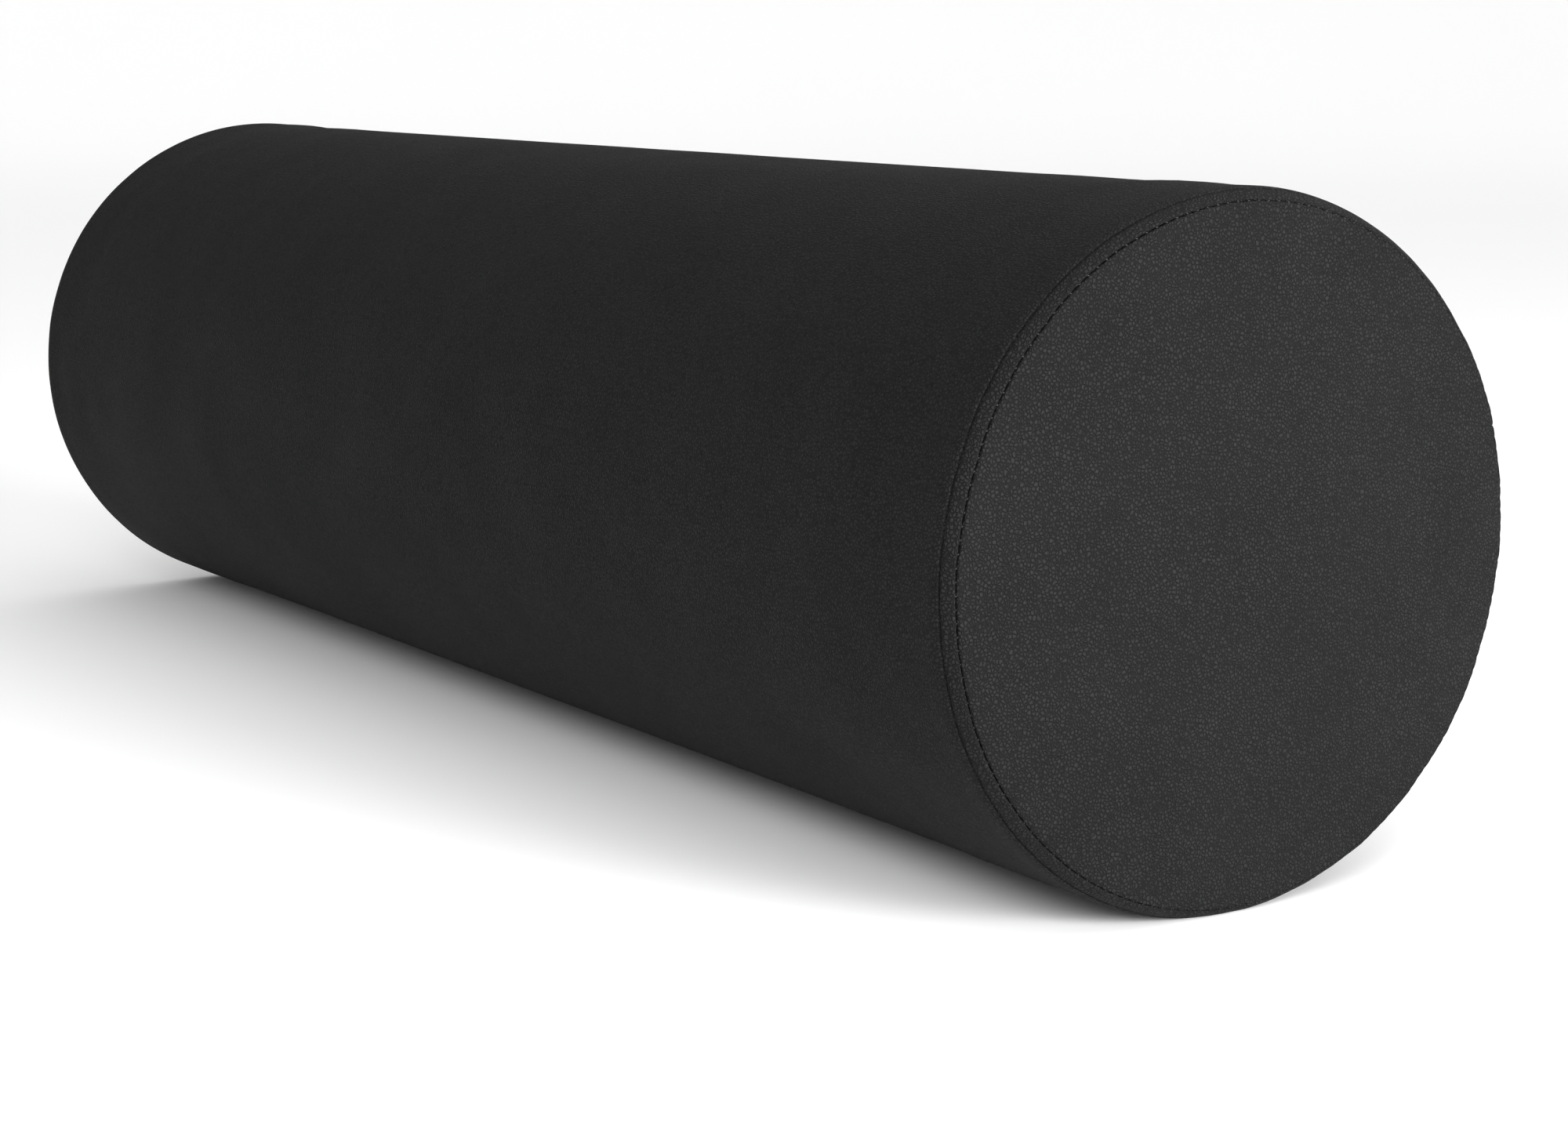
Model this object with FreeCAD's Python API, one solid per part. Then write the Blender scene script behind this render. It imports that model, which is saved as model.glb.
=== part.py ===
"""Round massage bolster: a foam cylinder in a sewn artificial-leather cover that closes with a lengthwise zip.

Frame: +X along the bolster, +Z up, origin on the floor under the middle. The front end is at +X.
The cover is built in layers. A layer is named by its depth, the distance from the cover's outer surface.
The zip lies along the +Y side, so it has a frame of its own: X along it, T up across it, N outwards.
"""

import math
import os

import FreeCAD
import Part
from FreeCAD import Vector

# ---- Driving dimensions, in millimetres and degrees ----
LENGTH = 660.0            # over the crests of the two crowned ends
DIAMETER = 200.0          # of the filled cover
REST_WIDTH = 32.0         # strip that the weight presses flat against the floor
CROWN = 5.0               # how far each end bulges beyond its seam
SHOULDER_RADIUS = 10.0    # rounding of the tube panel over the foam's edge
SEAM_INSET = 3.2          # from the tube's radius in to the end seam
SKIN = 1.2                # artificial leather with its knitted backing
END_ALLOWANCE = 9.0       # width of the seam allowances turned in at each end
PLY_GAP = 0.05            # between layers that lie on each other
THREAD_RADIUS = 0.18
STITCH_SETBACK = 1.5      # from an end seam's fold to its row of stitches
THREAD_BEND = 40.0        # where a ring of thread turns into its straight run over the flat
LINER = 0.4               # non-woven sleeve round the foam

ZIP_ANGLE = 18.0          # of the zip above the horizontal, on the +Y side
OPENING = 562.0           # length of the cover's zip opening
OPENING_WIDTH = 9.6       # between its two hems
HEM = 12.0                # width of the turned hem on each long edge of the tube panel
FOLD = 0.8                # width of a fold where two plies join
CLOSED_SEAM_GAP = 0.5     # between the long edges where they are sewn to each other
TAPE_OVERRUN = 10.0       # of the tapes past each end of the opening
TAPE_THICKNESS = 0.5
TAPE_GAP = 2.4            # between the tapes' inner edges
TAPE_EDGE = 16.0          # from the zip's middle to a tape's outer edge
COIL_WIDTH = 3.1          # of one row of coil, from the zip's middle
COIL_TOP = 0.25           # depth of the coil's top
TOPSTITCH_SETBACK = 3.0   # from a hem's fold to the row that holds the tape

SLIDER_LENGTH = 13.0
SLIDER_MOUTH_WIDTH = 8.7  # at the end where the open tapes go in
SLIDER_TAIL_WIDTH = 7.9
SLIDER_PLATE = 0.9
SLIDER_WALL = 0.7
SLIDER_REST_X = -268.0    # zip closed
SLIDER_TRAVEL = 534.0     # from closed to open, towards +X
PIVOT_HEIGHT = 2.2        # of the pull's crossbar above the cover
EYE_RADIUS = 0.95
CROSSBAR_RADIUS = 0.87
PULL_LENGTH = 26.0
PULL_WIDTH = 5.6
PULL_THICKNESS = 1.3
PULL_TILT = 2.6           # the resting pull's tip lies low, over the coil

# ---- Worked out from them ----
RADIUS = DIAMETER / 2
AXIS_HEIGHT = math.sqrt(RADIUS ** 2 - (REST_WIDTH / 2) ** 2)
SEAM_RADIUS = RADIUS - SEAM_INSET
SEAM_X = LENGTH / 2 - CROWN
SHOULDER_TURN = math.acos(1 - SEAM_INSET / SHOULDER_RADIUS)
SHOULDER_X = SEAM_X - SHOULDER_RADIUS * math.sin(SHOULDER_TURN)
CROWN_RADIUS = (SEAM_RADIUS ** 2 + CROWN ** 2) / (2 * CROWN)
SHOULDER_CENTRE = (SHOULDER_X, RADIUS - SHOULDER_RADIUS)
CROWN_CENTRE = (LENGTH / 2 - CROWN_RADIUS, 0)

# The long panel and an end panel meet on a cone. It splits the angle between them, whatever their thickness.
MITRE_TOP = (SEAM_X, SEAM_RADIUS)
MITRE_TURN = (math.pi / 2 - SHOULDER_TURN + math.asin(SEAM_RADIUS / CROWN_RADIUS)) / 2
MITRE_RUN = (math.cos(MITRE_TURN), math.sin(MITRE_TURN))
MITRE_APEX_X = SEAM_X - SEAM_RADIUS / math.tan(MITRE_TURN)

# Depths of the layers at an end seam: the outer ply, its thread, the tube's turned-in ply, the end panel's.
THREAD_SPACE = 0.45
TUBE_PLY_TOP = SKIN + THREAD_SPACE
TUBE_PLY_BOTTOM = TUBE_PLY_TOP + SKIN
END_PLY_TOP = TUBE_PLY_BOTTOM + PLY_GAP
END_PLY_BOTTOM = END_PLY_TOP + SKIN
END_STACK = END_PLY_BOTTOM + THREAD_SPACE + PLY_GAP

# Depths of the layers beside the zip: the outer ply, its hem, the tape.
HEM_TOP = SKIN + PLY_GAP
HEM_BOTTOM = HEM_TOP + SKIN
TAPE_TOP = HEM_BOTTOM + PLY_GAP
TAPE_BOTTOM = TAPE_TOP + TAPE_THICKNESS
HEM_STACK = TAPE_BOTTOM + 2 * PLY_GAP
CHANNEL_DEPTH = 4.8       # the slider's lower plate runs in this channel
CHANNEL_WIDTH = 11.4
HEM_END_X = SEAM_X - END_ALLOWANCE - 4.0
RIM_RADIUS = SEAM_RADIUS - (END_PLY_BOTTOM + FOLD) / 2
LINER_SEAM_X = SEAM_X - END_STACK

FAR = 3 * LENGTH          # beyond the whole part
X_AXIS = Vector(1, 0, 0)
ORIGIN = Vector(0, 0, 0)
SIDES = (1, -1)


# ---- Solids of revolution about the X axis, each cut off flat by the floor ----

def on_arc(centre, radius, angle):
    """A point of an arc, with the angle measured from +X towards the outside."""
    return (centre[0] + radius * math.cos(angle), centre[1] + radius * math.sin(angle))


def mitre_angle(centre, radius):
    """The angle at which an arc about a centre crosses the mitre line of the front end."""
    away_x, away_r = MITRE_TOP[0] - centre[0], MITRE_TOP[1] - centre[1]
    dot = away_x * MITRE_RUN[0] + away_r * MITRE_RUN[1]
    step = -dot + math.sqrt(dot ** 2 + radius ** 2 - away_x ** 2 - away_r ** 2)
    return math.atan2(away_r + step * MITRE_RUN[1], away_x + step * MITRE_RUN[0])


def revolved(outline):
    """Sweeps a closed outline. An item is a point (x, r), or an arc (centre, radius, first, last angle)."""
    pieces = []
    for item in outline:
        if len(item) == 2:
            pieces.append((item, item, None))
        else:
            centre, radius, first, last = item
            pieces.append((on_arc(centre, radius, first), on_arc(centre, radius, last),
                           on_arc(centre, radius, (first + last) / 2)))
    edges = []
    for (start, end, middle), following in zip(pieces, pieces[1:] + pieces[:1]):
        if middle:
            edges.append(Part.Arc(at(*start), at(*middle), at(*end)).toShape())
        if math.dist(end, following[0]) > 1e-6:
            edges.append(Part.LineSegment(at(*end), at(*following[0])).toShape())
    return Part.Face(Part.Wire(edges)).revolve(ORIGIN, X_AXIS, 360)


def at(x, r):
    return Vector(x, 0, r)


def above_floor(shape, depth):
    floor = Part.makeBox(FAR, FAR, FAR, Vector(-FAR / 2, -FAR / 2, -AXIS_HEIGHT + depth - FAR))
    return shape.cut(floor)


def mirrored(shape, side):
    return shape if side > 0 else shape.mirror(ORIGIN, X_AXIS)


def tube_body(depth):
    """Everything at a depth inside the long panel and between the two mitres."""
    small = SHOULDER_RADIUS - depth
    edge = mitre_angle(SHOULDER_CENTRE, small)
    front = [(MITRE_APEX_X, 0), (SHOULDER_CENTRE, small, edge, math.pi / 2)]
    rear = [((-SHOULDER_X, SHOULDER_CENTRE[1]), small, math.pi / 2, math.pi - edge), (-MITRE_APEX_X, 0)]
    return above_floor(revolved(front + rear), depth)


def end_body(depth):
    """Everything at a depth inside the front end panel and beyond its mitre."""
    large = CROWN_RADIUS - depth
    edge = mitre_angle(CROWN_CENTRE, large)
    return above_floor(revolved([(MITRE_APEX_X, 0), (CROWN_CENTRE, large, 0, edge)]), depth)


def beyond_mitre(side, inset):
    """Everything on the end panel's side of the mitre, moved inwards along X."""
    height = LENGTH
    start = Vector(MITRE_APEX_X - inset, 0, 0)
    return mirrored(Part.makeCone(0, height * math.tan(MITRE_TURN), height, start, X_AXIS), side)


def tube_layer(outer, inner):
    return tube_body(outer).cut(tube_body(inner))


def end_layer(outer, inner):
    return end_body(outer).cut(end_body(inner))


def beyond(side, x):
    """Everything further along X than a station, towards one end."""
    return mirrored(Part.makeCylinder(DIAMETER, LENGTH, Vector(x, 0, 0), X_AXIS), side)


# ---- The zip's own frame ----

def zip_box(x_low, x_high, t_low, t_high, n_low=0.0, n_high=1.5 * RADIUS):
    """A box in the zip's frame, still with N along +Y and T along +Z. N is measured from the axis."""
    return Part.makeBox(x_high - x_low, n_high - n_low, t_high - t_low, Vector(x_low, n_low, t_low))


def in_zip_frame(shape):
    """Turns a shape built with N along +Y so that N points out through the zip."""
    turned = shape.copy()
    turned.rotate(ORIGIN, X_AXIS, ZIP_ANGLE)
    return turned


def sleeve(outer, inner):
    """The straight part of the cover between two depths."""
    length = 2 * SHOULDER_X
    start = Vector(-SHOULDER_X, 0, 0)
    return Part.makeCylinder(RADIUS - outer, length, start, X_AXIS).cut(
        Part.makeCylinder(RADIUS - inner, length, start, X_AXIS))


def strips(x_low, x_high, t_low, t_high, outer, inner):
    """The same curved strip above and below the zip, between two distances from its middle."""
    band = sleeve(outer, inner)
    return [band.common(in_zip_frame(zip_box(x_low, x_high, *sorted((side * t_low, side * t_high)))))
            for side in SIDES]


# ---- Cover ----

def make_hems():
    """The long panel's edges, folded under beside the opening and sewn to each other beyond it."""
    half, end = OPENING / 2, HEM_END_X
    start = OPENING_WIDTH / 2
    hems = strips(-half, half, start, start + HEM, HEM_TOP, HEM_BOTTOM)
    hems += strips(-half, half, start, start + FOLD, SKIN / 2, HEM_BOTTOM)
    start = CLOSED_SEAM_GAP / 2
    for low, high in ((-end, -half), (half, end)):
        hems += strips(low, high, start, start + HEM, HEM_TOP, HEM_BOTTOM)
        hems += strips(low, high, start, start + FOLD, SKIN / 2, HEM_BOTTOM)
    return hems


def make_tube_panel():
    """The long panel: its outer ply, the plies turned in at both ends, and the hems along its long edges."""
    panel = tube_layer(0, SKIN)
    turned = tube_layer(TUBE_PLY_TOP, TUBE_PLY_BOTTOM)
    fold = tube_layer(SKIN / 2, TUBE_PLY_BOTTOM)
    for side in SIDES:
        panel = panel.fuse(turned.common(beyond(side, SEAM_X - END_ALLOWANCE)))
        panel = panel.fuse(fold.common(beyond_mitre(side, FOLD / MITRE_RUN[1])))
    panel = panel.cut(in_zip_frame(zip_box(-LENGTH, LENGTH, -CLOSED_SEAM_GAP / 2, CLOSED_SEAM_GAP / 2)))
    panel = panel.cut(in_zip_frame(zip_box(-OPENING / 2, OPENING / 2, -OPENING_WIDTH / 2, OPENING_WIDTH / 2)))
    return panel.fuse(make_hems())


def make_end_panel(side):
    """A crowned disc whose edge turns in under the tube panel's allowance."""
    disc = end_layer(0, SKIN)
    rim = end_layer(SKIN / 2, END_PLY_BOTTOM).cut(
        Part.makeCylinder(RIM_RADIUS, LENGTH, ORIGIN, X_AXIS))
    turned = tube_layer(END_PLY_TOP, END_PLY_BOTTOM).common(beyond(1, SEAM_X - END_ALLOWANCE))
    return mirrored(disc.fuse([rim, turned]), side)


def thread_ring(side, depth):
    """One thread of an end seam, running round inside the shoulder and straight across the flat."""
    small = SHOULDER_RADIUS - depth
    x, r = on_arc(SHOULDER_CENTRE, small, mitre_angle(SHOULDER_CENTRE, small) + STITCH_SETBACK / SHOULDER_RADIUS)
    x *= side
    drop = AXIS_HEIGHT - depth
    if r <= drop:
        return Part.makeTorus(r, THREAD_RADIUS, Vector(x, 0, 0), X_AXIS)
    turn = math.acos((drop - THREAD_BEND) / (r - THREAD_BEND))
    half = (r - THREAD_BEND) * math.sin(turn)
    bend_centre = Vector(x, half, THREAD_BEND - drop)
    section = Part.Face(Part.Wire(Part.makeCircle(THREAD_RADIUS, Vector(x, half, -drop), Vector(0, 1, 0))))
    straight = section.extrude(Vector(0, -2 * half, 0))
    bend = section.revolve(bend_centre, X_AXIS, math.degrees(turn))
    section.rotate(bend_centre, X_AXIS, math.degrees(turn))
    round_part = section.revolve(Vector(x, 0, 0), X_AXIS, 360 - 2 * math.degrees(turn))
    other_bend = bend.mirror(Vector(0, 0, 0), Vector(0, 1, 0))
    return straight.fuse([bend, other_bend, round_part])


def make_end_seam_thread(side):
    """The needle thread over the two turned plies and the bobbin thread under them."""
    return [thread_ring(side, SKIN + THREAD_SPACE / 2), thread_ring(side, END_PLY_BOTTOM + THREAD_SPACE / 2)]


def zip_rod(x_low, x_high, t, n):
    rod = Part.makeCylinder(THREAD_RADIUS, x_high - x_low, Vector(x_low, n, t), X_AXIS)
    return in_zip_frame(rod)


def make_closing_seam_thread():
    """The thread that sews the long edges to each other, at both ends of the zip."""
    low, high = OPENING / 2 + FOLD, HEM_END_X
    depth = RADIUS - SKIN - THREAD_RADIUS
    return [zip_rod(low, high, 0, depth), zip_rod(-high, -low, 0, depth)]


def make_topstitch(side):
    """The needle thread on the cover and the bobbin thread under the tape."""
    t = side * (OPENING_WIDTH / 2 + TOPSTITCH_SETBACK)
    half = OPENING / 2 - FOLD

    def lies_at(depth):
        return math.sqrt((RADIUS - depth) ** 2 - t ** 2)

    clear = THREAD_RADIUS + PLY_GAP / 2
    return [zip_rod(-half, half, t, lies_at(0) + clear),
            zip_rod(-half, half, t, lies_at(TAPE_BOTTOM) - clear)]


# ---- Core ----

def core_body(spare):
    """The foam's space with some to spare: stepped in under the allowances, the hems and the slider's path."""
    depth, deep = SKIN + PLY_GAP + spare, END_STACK + spare
    step_x = SEAM_X - END_ALLOWANCE - 1 - spare
    body = above_floor(Part.makeCylinder(RADIUS - depth, 2 * step_x, Vector(-step_x, 0, 0), X_AXIS), depth)
    small, large, stepped = SHOULDER_RADIUS - deep, CROWN_RADIUS - depth, CROWN_RADIUS - deep
    rim = RIM_RADIUS - 2 * PLY_GAP - spare
    end = above_floor(revolved([
        (step_x, 0),
        (CROWN_CENTRE, large, 0, math.asin(rim / large)),
        (CROWN_CENTRE, stepped, math.asin(rim / stepped), mitre_angle(CROWN_CENTRE, stepped)),
        (SHOULDER_CENTRE, small, mitre_angle(SHOULDER_CENTRE, small), math.pi / 2),
        (step_x, RADIUS - deep),
    ]), deep)
    for side in SIDES:
        body = body.fuse(mirrored(end, side))

    def recess(x_half, t_half, bottom):
        box = in_zip_frame(zip_box(-x_half - spare, x_half + spare, -t_half - spare, t_half + spare))
        return sleeve(-1, bottom + spare).common(box)

    half = OPENING / 2
    topstitch = OPENING_WIDTH / 2 + TOPSTITCH_SETBACK + 3 * THREAD_RADIUS
    return body.cut([
        recess(HEM_END_X + 1, TAPE_EDGE + 2, HEM_STACK),
        recess(half, topstitch, HEM_STACK + 2 * THREAD_RADIUS),
        recess(half, CHANNEL_WIDTH / 2, CHANNEL_DEPTH),
    ])


def make_liner():
    """The non-woven sleeve round the foam, as (sleeve, front disc, rear disc)."""
    tube = core_body(0).cut(core_body(LINER))
    discs = []
    for side in SIDES:
        end = beyond(side, LINER_SEAM_X)
        discs.append(tube.common(end))
        tube = tube.cut(end)
    return tube, discs[0], discs[1]


def make_foam():
    return core_body(LINER + PLY_GAP)


# ---- Zip ----

def surface(n):
    """A distance from the axis, for a height above the cover at the zip."""
    return RADIUS + n


def make_coil(side):
    """One row of the coil, as its plain outline, from the slider's divider to the bottom stop."""
    start, end = SLIDER_REST_X - 2.4, SLIDER_REST_X + SLIDER_TRAVEL + SLIDER_LENGTH / 2 + 1.0
    inner, outer = sorted((side * PLY_GAP, side * COIL_WIDTH))
    return in_zip_frame(zip_box(start, end, inner, outer, surface(-TAPE_TOP), surface(-COIL_TOP)))


def make_stop(x_low, x_high, t_low, t_high):
    return in_zip_frame(zip_box(x_low, x_high, t_low, t_high, surface(-TAPE_TOP), surface(-COIL_TOP - 0.1)))


def make_top_stops():
    """A crimped metal stop on each tape, just past the closed slider's mouth."""
    x = SLIDER_REST_X - SLIDER_LENGTH / 2 - 0.5
    return [make_stop(x - 2.6, x, *sorted((s * 1.25, s * COIL_WIDTH))) for s in SIDES]


def make_bottom_stop():
    """One stop across both tapes, which the open slider meets."""
    x = SLIDER_REST_X + SLIDER_TRAVEL + SLIDER_LENGTH / 2 + 1.2
    return make_stop(x, x + 2.8, -COIL_WIDTH, COIL_WIDTH)


def slider_outline(n_low, n_high, shrink=0.0):
    """The slider's plan, wide at the mouth and narrow at the tail, between two heights."""
    mouth, tail = SLIDER_MOUTH_WIDTH / 2 - shrink, SLIDER_TAIL_WIDTH / 2 - shrink
    low, high = SLIDER_REST_X - SLIDER_LENGTH / 2, SLIDER_REST_X + SLIDER_LENGTH / 2
    waist = SLIDER_REST_X + 1.0
    corners = [(low, -mouth), (waist, -tail), (high, -tail), (high, tail), (waist, tail), (low, mouth)]
    face = Part.Face(Part.makePolygon([Vector(x, surface(n_low), t) for x, t in corners + corners[:1]]))
    return face.extrude(Vector(0, n_high - n_low, 0))


def make_slider_body():
    """Upper plate with side walls, lower plate, the divider between them and the bridge for the pull."""
    x, top = SLIDER_REST_X, SLIDER_PLATE
    upper = slider_outline(-2.0, top).cut(slider_outline(-2.0, 0, SLIDER_WALL))
    lower = slider_outline(-3.25 - SLIDER_PLATE, -3.25)
    front = x - SLIDER_LENGTH / 2 + 0.5
    divider = Part.Face(Part.makePolygon([Vector(px, surface(-4.0), t) for px, t in
                                          ((front, -0.9), (x - 2.6, -0.35), (x - 2.6, 0.35), (front, 0.9), (front, -0.9))]))
    post = divider.extrude(Vector(0, 4.0 + top / 2, 0))
    foot, crown = 3.2, PIVOT_HEIGHT + EYE_RADIUS + 0.6
    bridge_points = [Vector(x - foot, surface(top / 2), -0.9), Vector(x + foot, surface(top / 2), -0.9),
                     Vector(x + foot, surface(top + 0.4), -0.9)]
    over = Part.Arc(bridge_points[2], Vector(x, surface(crown), -0.9), Vector(x - foot, surface(top + 0.4), -0.9))
    bridge = Part.Face(Part.Wire([
        Part.LineSegment(bridge_points[0], bridge_points[1]).toShape(),
        Part.LineSegment(bridge_points[1], bridge_points[2]).toShape(),
        over.toShape(),
        Part.LineSegment(Vector(x - foot, surface(top + 0.4), -0.9), bridge_points[0]).toShape(),
    ])).extrude(Vector(0, 0, 1.8))
    eye = Part.makeCylinder(EYE_RADIUS, 10, Vector(x, surface(PIVOT_HEIGHT), -5), Vector(0, 0, 1))
    return in_zip_frame(upper.fuse(lower).fuse(post).fuse(bridge).cut(eye))


def make_pull_tab():
    """A flat tab with a window at one end; the window's outer bar runs through the slider's eye."""
    half, arm_in = PULL_WIDTH / 2, 1.15
    thick = PULL_THICKNESS / 2
    window_end = 4.1
    body = Part.makeBox(PULL_LENGTH - half, PULL_THICKNESS, PULL_WIDTH, Vector(0, -thick, -half))
    tip = Part.makeCylinder(half, PULL_THICKNESS, Vector(PULL_LENGTH - half, -thick, 0), Vector(0, 1, 0))
    window = Part.makeBox(window_end + 2, 4 * thick, 2 * arm_in, Vector(-2, -2 * thick, -arm_in))
    bar = Part.makeCylinder(CROSSBAR_RADIUS, PULL_WIDTH, Vector(0, 0, -half), Vector(0, 0, 1))
    tab = body.fuse(tip).cut(window).fuse(bar)
    tab.rotate(ORIGIN, Vector(0, 0, 1), -PULL_TILT)
    tab.translate(Vector(SLIDER_REST_X, surface(PIVOT_HEIGHT), 0))
    return in_zip_frame(tab)


# ---- Export ----

def solids_of(shape):
    shapes = shape if isinstance(shape, list) else [shape]
    return [solid for one in shapes for solid in one.removeSplitter().Solids]


def export(name, shape):
    """Lifts a sub-part from the axis to its height over the floor and writes it."""
    solids = solids_of(shape)
    placed = Part.makeCompound(solids) if len(solids) > 1 else solids[0].copy()
    placed.translate(Vector(0, 0, AXIS_HEIGHT))
    placed.exportStep(f"parts/{name}.step")
    bad = [n for n, solid in enumerate(solids) if not solid.isValid()]
    print(f"{name}: {len(solids)} solid(s), {placed.Volume / 1000:.3f} cm3" + (f", NOT VALID {bad}" if bad else ""))


def main():
    os.makedirs("parts", exist_ok=True)
    tape_end = OPENING / 2 + TAPE_OVERRUN
    tapes = strips(-tape_end, tape_end, TAPE_GAP / 2, TAPE_EDGE, TAPE_TOP, TAPE_BOTTOM)
    liner_sleeve, liner_front, liner_rear = make_liner()
    parts = {
        "foam_core": make_foam(),
        "liner_sleeve": liner_sleeve,
        "liner_front_disc": liner_front,
        "liner_rear_disc": liner_rear,
        "cover_tube_panel": make_tube_panel(),
        "cover_front_panel": make_end_panel(1),
        "cover_rear_panel": make_end_panel(-1),
        "front_seam_thread": make_end_seam_thread(1),
        "rear_seam_thread": make_end_seam_thread(-1),
        "closing_seam_thread": make_closing_seam_thread(),
        "zip_tape_upper": tapes[0],
        "zip_tape_lower": tapes[1],
        "zip_coil_upper": make_coil(1),
        "zip_coil_lower": make_coil(-1),
        "zip_topstitch_upper": make_topstitch(1),
        "zip_topstitch_lower": make_topstitch(-1),
        "zip_top_stops": make_top_stops(),
        "zip_bottom_stop": make_bottom_stop(),
        "zip_slider_body": make_slider_body(),
        "zip_pull_tab": make_pull_tab(),
    }
    for name, shape in parts.items():
        export(name, shape)


main()
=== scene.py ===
"""Looks of the round massage bolster: near-black grained artificial leather, sewn ends and a nylon coil zip.

Lengths are in millimetres until a mesh is made. The bolster lies along X and stands on z = 0.
Around the bolster, an angle is measured from the middle of the zip, up over the top.
"""

import math

import bmesh
import bpy
import numpy as np
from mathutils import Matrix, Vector


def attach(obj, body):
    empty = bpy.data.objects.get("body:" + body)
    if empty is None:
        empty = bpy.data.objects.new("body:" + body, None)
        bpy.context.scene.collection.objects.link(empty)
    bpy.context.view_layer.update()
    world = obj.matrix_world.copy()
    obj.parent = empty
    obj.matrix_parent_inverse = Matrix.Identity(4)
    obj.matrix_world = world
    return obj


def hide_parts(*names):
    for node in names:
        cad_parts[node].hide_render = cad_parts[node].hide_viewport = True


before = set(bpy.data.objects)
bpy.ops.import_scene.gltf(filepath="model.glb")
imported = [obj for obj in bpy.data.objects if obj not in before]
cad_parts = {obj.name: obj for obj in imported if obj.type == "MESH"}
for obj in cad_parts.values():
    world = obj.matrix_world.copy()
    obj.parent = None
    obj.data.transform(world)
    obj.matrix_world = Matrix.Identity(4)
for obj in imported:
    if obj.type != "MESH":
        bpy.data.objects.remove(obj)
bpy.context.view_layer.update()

# ---- Sizes, as in the CAD ----
MM = 0.001
RADIUS = 100.0
AXIS_HEIGHT = math.sqrt(RADIUS ** 2 - 16.0 ** 2)
HALF_LENGTH = 330.0
SEAM_X, SEAM_R = 325.0, 96.8
SHOULDER = 10.0
SHOULDER_TURN = math.acos(1 - (RADIUS - SEAM_R) / SHOULDER)
SHOULDER_X = SEAM_X - SHOULDER * math.sin(SHOULDER_TURN)
CROWN = HALF_LENGTH - SEAM_X
CROWN_RADIUS = (SEAM_R ** 2 + CROWN ** 2) / (2 * CROWN)
MITRE_TURN = (math.pi / 2 - SHOULDER_TURN + math.asin(SEAM_R / CROWN_RADIUS)) / 2
MITRE = np.array([math.cos(MITRE_TURN), math.sin(MITRE_TURN)])
ZIP_ANGLE = math.radians(18.0)
ZIP_OUT = np.array([0.0, math.cos(ZIP_ANGLE), math.sin(ZIP_ANGLE)])
ZIP_UP = np.array([0.0, -math.sin(ZIP_ANGLE), math.cos(ZIP_ANGLE)])
OPENING = 562.0
OPENING_EDGE = 4.8        # from the zip's middle to a hem's fold
HEM = 12.0
LEATHER = 0.8             # the skin without its backing, which the folded seams have no room for
STITCHES = 170            # round each end seam
STITCH_LENGTH = 3.6       # along the zip
PLY = 1.25                # the cover's skin and the gap under it
SEAM_STACK = 3.35         # what the end seam's layers add to that
HEM_STACK = 1.95          # what the hem and the zip tape add
COIL_PITCH = 1.34
COIL_START, COIL_LENGTH = -270.0, 543.2


# ---- Small tools ----

def smoothstep(a, b, v):
    """Rises smoothly from 0 at a to 1 at b."""
    t = np.clip((np.asarray(v, float) - a) / (b - a), 0, 1)
    return t * t * (3 - 2 * t)


def bell(v, width):
    """Is 1 at 0 and fades out on both sides."""
    return np.exp(-(np.asarray(v, float) / width) ** 2)


def in_space(x, radius, angle):
    """Points round the axis, from their x, radius and angle from the zip."""
    a = ZIP_ANGLE + np.asarray(angle, float)
    x, radius, a = np.broadcast_arrays(x, radius, a)
    return np.stack([x, radius * np.cos(a), AXIS_HEIGHT + radius * np.sin(a)], -1)


def on_floor(points, height=0.0, softness=0.25):
    """Presses points that would be under the floor up to it, with a soft edge."""
    above = points[..., 2] - height
    points[..., 2] = height + 0.5 * (above + np.sqrt(above ** 2 + softness ** 2)) - 0.5 * softness * bell(above, 3)
    points[..., 2] = np.maximum(points[..., 2], height)
    return points


def in_zip(x, t, n):
    """Points in the zip's frame: along it, up across it, and out from the cover's surface."""
    x, t, n = np.broadcast_arrays(np.asarray(x, float), t, n)
    p = t[..., None] * ZIP_UP + (RADIUS + n)[..., None] * ZIP_OUT
    p[..., 0] += x
    p[..., 2] += AXIS_HEIGHT
    return p


def make_piece(name, points, faces, body, slot, material, *nodes):
    """A smooth piece that rides on a body. The points are in millimetres."""
    mesh = bpy.data.meshes.new(name)
    mesh.from_pydata([tuple(p) for p in np.asarray(points, float) * MM], [], faces)
    mesh.update()
    piece = bpy.data.objects.new(name, mesh)
    bpy.context.scene.collection.objects.link(piece)
    mesh.polygons.foreach_set("use_smooth", [True] * len(mesh.polygons))
    mesh.materials.append(material)
    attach(piece, body)
    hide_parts(*nodes)
    return piece


def face_outwards(piece):
    """Turns the faces of closed shells outwards."""
    bm = bmesh.new()
    bm.from_mesh(piece.data)
    bmesh.ops.recalc_face_normals(bm, faces=bm.faces)
    bm.to_mesh(piece.data)
    bm.free()
    return piece


def thicken(piece, depth):
    """Gives a sheet its thickness, on the side away from its face."""
    ply = piece.modifiers.new("ply", "SOLIDIFY")
    ply.thickness, ply.offset = depth * MM, -1.0
    made = bpy.data.meshes.new_from_object(piece.evaluated_get(bpy.context.evaluated_depsgraph_get()))
    piece.modifiers.clear()
    piece.data = made
    return piece


def merged(first, second):
    """Two sets of points and faces as one."""
    (points, faces), (more, more_faces) = first, second
    return list(points) + list(more), faces + [[v + len(points) for v in face] for face in more_faces]


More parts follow.
